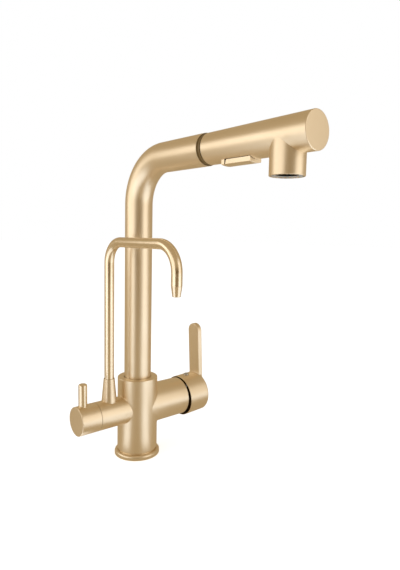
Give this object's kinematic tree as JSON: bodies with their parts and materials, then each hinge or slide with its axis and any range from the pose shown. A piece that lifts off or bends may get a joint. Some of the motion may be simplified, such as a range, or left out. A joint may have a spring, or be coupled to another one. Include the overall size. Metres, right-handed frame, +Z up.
{
  "type": "three way filtered water tap",
  "caption": "Three way kitchen tap in satin champagne gold: swivelling main spout with a pull-out spray, side mixer lever, and a slim swivelling spout with its own lever for filtered water.",
  "frame": {"origin": "centre of the base's underside, on the worktop, on the main spout's swivel axis", "axes": "+Z up along the spout's column, main spout points along -Y towards the user, mixer lever on +X, filter lever on -X"},
  "size_m": [0.17, 0.2545, 0.3441],
  "materials": {
    "satin_gold": "brushed champagne gold, satin",
    "polished_gold": "polished champagne gold",
    "bare_brass": "machined",
    "black_rubber": "matt",
    "ivory_acetal": "moulded",
    "black_plastic": "moulded",
    "grey_silicone": "moulded",
    "steel": "turned",
    "white_ceramic": "lapped",
    "nylon_hose": "braided"
  },
  "bodies": {
    "tap_body": {"base_ring": "satin_gold", "deck_seal": "black_rubber", "tap_body": "satin_gold", "column_guide_ring": "ivory_acetal", "spout_thrust_washer": "ivory_acetal", "spout_retaining_screw": "steel", "cartridge_seal": "black_rubber", "cartridge_housing": "ivory_acetal", "fixed_disc": "white_ceramic", "cartridge_nut": "bare_brass", "filter_seal": "black_rubber", "filter_headwork": "bare_brass", "filter_fixed_disc": "white_ceramic", "filter_ferrule": "polished_gold", "filter_wiper_ring": "black_rubber"},
    "spout": {"spout_tube": "satin_gold", "spout_foot": "bare_brass", "lower_swivel_ring": "ivory_acetal", "upper_swivel_ring": "ivory_acetal", "docking_collar": "black_plastic", "docking_bush": "ivory_acetal", "pull_out_hose": "nylon_hose", "hose_tail_fitting": "bare_brass"},
    "spray_head": {"head_shell": "satin_gold", "docking_cushion": "black_rubber", "spray_waterway": "ivory_acetal", "hose_head_fitting": "bare_brass", "spray_face": "grey_silicone", "aerator_insert": "black_plastic", "button_hinge_block": "satin_gold", "button_hinge_pin": "steel", "diverter_spring": "steel"},
    "spray_button": {"spray_button": "satin_gold"},
    "diverter": {"diverter_plunger": "black_plastic"},
    "filter_spout": {"filter_spout_tube": "polished_gold", "filter_spout_foot": "bare_brass", "filter_spout_oring": "black_rubber", "filter_spout_tip": "polished_gold", "filter_tip_screen": "black_plastic"},
    "filter_lever": {"filter_knob": "satin_gold", "filter_lever_pin": "polished_gold", "filter_spindle": "bare_brass", "filter_turning_disc": "white_ceramic", "filter_grub_screw": "steel"},
    "cartridge_rotor": {"cartridge_rotor": "ivory_acetal", "stem_pivot_pin": "steel"},
    "mixer_lever": {"mixer_handle": "satin_gold", "cartridge_stem": "bare_brass", "handle_grub_screw": "steel", "handle_screw_plug": "steel"},
    "disc_carrier": {"disc_carrier": "ivory_acetal", "sliding_disc": "white_ceramic"}
  },
  "joints": [
    {"name": "spout_swivel", "type": "hinge", "parent": "tap_body", "child": "spout", "pos_m": [0, 0, 0.05], "axis": [0, 0, 1], "range_deg": [-60, 60]},
    {"name": "spray_pull_out", "type": "slide", "parent": "spout", "child": "spray_head", "axis": [0, -1, 0], "range_m": [0, 0.2], "deforming": ["pull_out_hose"]},
    {"name": "spray_button_press", "type": "hinge", "parent": "spray_head", "child": "spray_button", "pos_m": [0, -0.1419, 0.3144], "axis": [-1, 0, 0], "range_deg": [0, 5], "stiffness_Nm_per_rad": 0.4, "springref_deg": -2.86},
    {"name": "diverter_travel", "type": "slide", "parent": "spray_head", "child": "diverter", "axis": [0, 0, 1], "range_m": [0, 0.0014], "deforming": ["diverter_spring"]},
    {"name": "filter_spout_swivel", "type": "hinge", "parent": "tap_body", "child": "filter_spout", "pos_m": [-0.0372, 0, 0.07], "axis": [0, 0, 1], "range_deg": [-120, 50]},
    {"name": "filter_lever_turn", "type": "hinge", "parent": "tap_body", "child": "filter_lever", "pos_m": [-0.06, 0, 0.0545], "axis": [1, 0, 0], "range_deg": [0, 90]},
    {"name": "mixer_temperature", "type": "hinge", "parent": "tap_body", "child": "cartridge_rotor", "pos_m": [0.05, 0, 0.0545], "axis": [1, 0, 0], "range_deg": [-45, 45]},
    {"name": "mixer_flow", "type": "hinge", "parent": "cartridge_rotor", "child": "mixer_lever", "pos_m": [0.05, 0, 0.0545], "axis": [0, 1, 0], "range_deg": [0, 24]},
    {"name": "disc_slide", "type": "slide", "parent": "cartridge_rotor", "child": "disc_carrier", "axis": [0, 0, 1], "range_m": [0, 0.0038]}
  ],
  "couplings": [
    {"joint": "diverter_travel", "follows": "spray_button_press", "m_per_rad": 0.0146},
    {"joint": "disc_slide", "follows": "mixer_flow", "m_per_rad": 0.00874}
  ]
}
